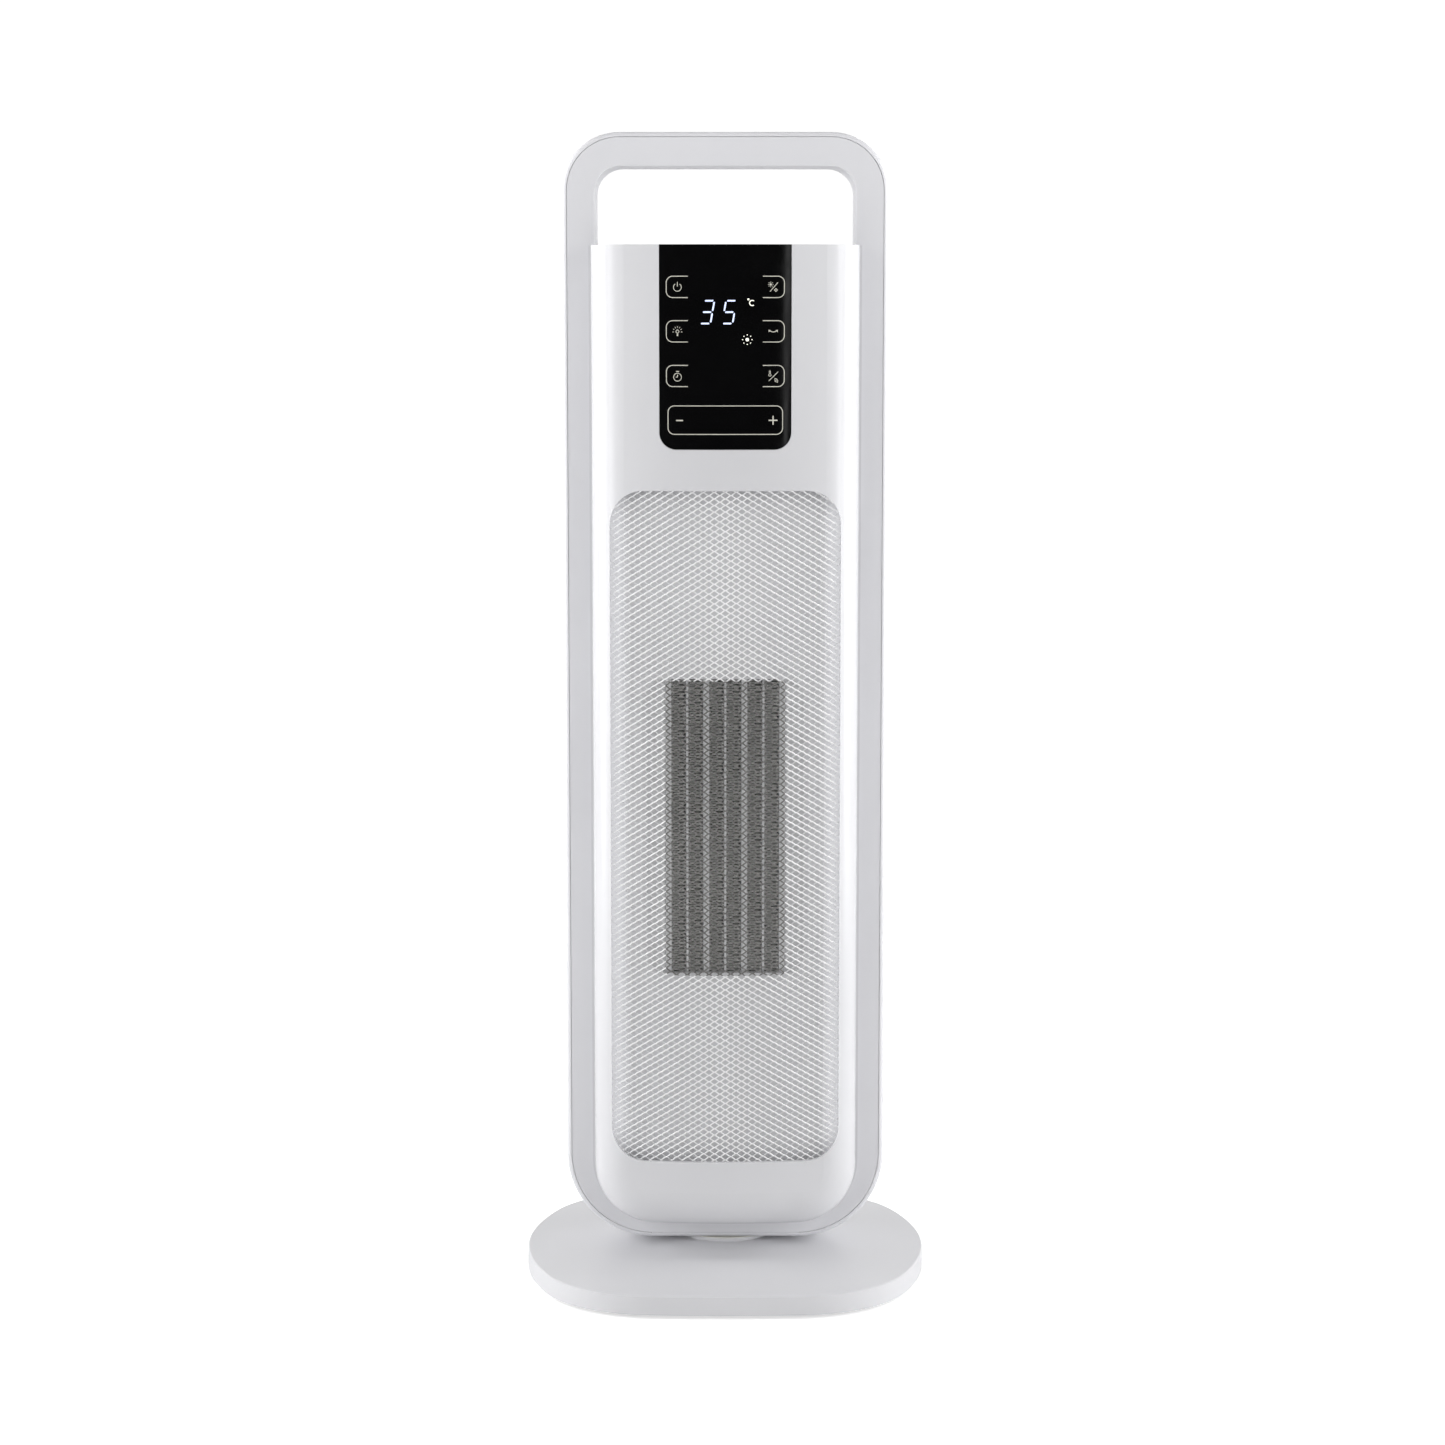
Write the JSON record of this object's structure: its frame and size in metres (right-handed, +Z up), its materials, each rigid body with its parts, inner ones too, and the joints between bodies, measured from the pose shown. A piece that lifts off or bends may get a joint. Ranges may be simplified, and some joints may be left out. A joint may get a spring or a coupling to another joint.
{
  "type": "ceramic space heater",
  "caption": "Free-standing tower heater: a bulging front with an expanded-metal outlet and touch glass, held in a flat loop frame with a hand gap, turning on a low rounded base.",
  "frame": {"origin": "on the floor, on the swivel axis, at the centre of the base", "axes": "+Z up, the front faces -Y, +X to the right seen from the front"},
  "size_m": [0.2188, 0.2076, 0.62],
  "materials": {
    "white_gloss": "glossy white moulded plastic",
    "frame_grey": "satin light grey moulded plastic",
    "trim_grey": "satin light grey moulded plastic",
    "base_grey": "satin light grey moulded plastic",
    "touch_glass": "black touch glass with light printed marks",
    "mesh_white": "white coated expanded metal",
    "duct_white": "white heat-proof plastic",
    "fin_aluminium": "dull corrugated fins",
    "bar_aluminium": "pressed aluminium",
    "heat_plastic": "heat-proof black plastic",
    "steel": "zinc-plated steel",
    "rubber_black": "black rubber",
    "gear_acetal": "natural acetal",
    "board_green": "lacquered circuit board",
    "component_black": "moulded black component",
    "led_white": "milky LED block",
    "foam_grey": "open-cell filter foam",
    "fan_grey": "dark grey fan plastic",
    "switch_black": "glossy black plastic"
  },
  "bodies": {
    "base": {"base_cover": "base_grey", "base_plate": "component_black", "base_ballast": "steel", "base_feet": "rubber_black", "base_screws": "steel", "cord_grommet": "rubber_black", "tilt_switch": "component_black", "swivel_washer": "gear_acetal", "fixed_gear": "gear_acetal"},
    "tower": {"swivel_spindle": "gear_acetal", "spindle_retainer": "steel", "spindle_screws": "steel", "oscillation_motor": "steel", "motor_saddle": "steel", "frame_front": "frame_grey", "frame_trim": "trim_grey", "bottom_insert": "frame_grey", "front_cover": "white_gloss", "control_glass": "touch_glass", "display_board": "board_green", "led_display": "led_white", "outlet_mesh": "mesh_white", "outlet_duct": "duct_white", "heater_rails": "bar_aluminium", "heater_cap_lower": "heat_plastic", "heater_cap_upper": "heat_plastic", "thermal_cutout": "steel", "fan_housing": "duct_white", "fan_bearing": "gear_acetal", "fan_motor": "steel", "motor_bracket": "steel", "power_board": "board_green", "relays": "component_black", "terminal_block": "gear_acetal", "rear_shell": "frame_grey", "rear_screws": "steel", "switch_housing": "switch_black", "fin_bank_1": "fin_aluminium", "fin_bank_2": "fin_aluminium", "fin_bank_3": "fin_aluminium", "fin_bank_4": "fin_aluminium", "fin_bank_5": "fin_aluminium", "fin_bank_6": "fin_aluminium", "ceramic_bar_1": "bar_aluminium", "ceramic_bar_2": "bar_aluminium", "ceramic_bar_3": "bar_aluminium"},
    "pinion": {"drive_pinion": "gear_acetal", "drive_shaft": "steel"},
    "fan": {"fan_wheel": "fan_grey", "fan_shaft": "steel"},
    "filter_door": {"intake_panel": "frame_grey", "dust_filter": "foam_grey"},
    "rocker": {"power_rocker": "switch_black"}
  },
  "joints": [
    {"name": "tower_turn", "type": "hinge", "parent": "base", "child": "tower", "pos_m": [0, 0, 0], "axis": [0, 0, 1], "range_deg": [-35, 35]},
    {"name": "pinion_spin", "type": "hinge", "parent": "tower", "child": "pinion", "pos_m": [0, 0.0126, 0], "axis": [0, 0, 1], "range_deg": [-70, 70]},
    {"name": "fan_spin", "type": "hinge", "parent": "tower", "child": "fan", "pos_m": [0, 0.008, 0], "axis": [0, 0, 1], "continuous": true},
    {"name": "filter_tilt", "type": "hinge", "parent": "tower", "child": "filter_door", "pos_m": [0, 0.0464, 0.1032], "axis": [-1, 0, 0], "range_deg": [0, 35]},
    {"name": "rocker_tilt", "type": "hinge", "parent": "tower", "child": "rocker", "pos_m": [0, 0.045, 0.066], "axis": [-1, 0, 0], "range_deg": [0, 14]}
  ],
  "couplings": [
    {"joint": "pinion_spin", "follows": "tower_turn", "ratio": 2}
  ]
}
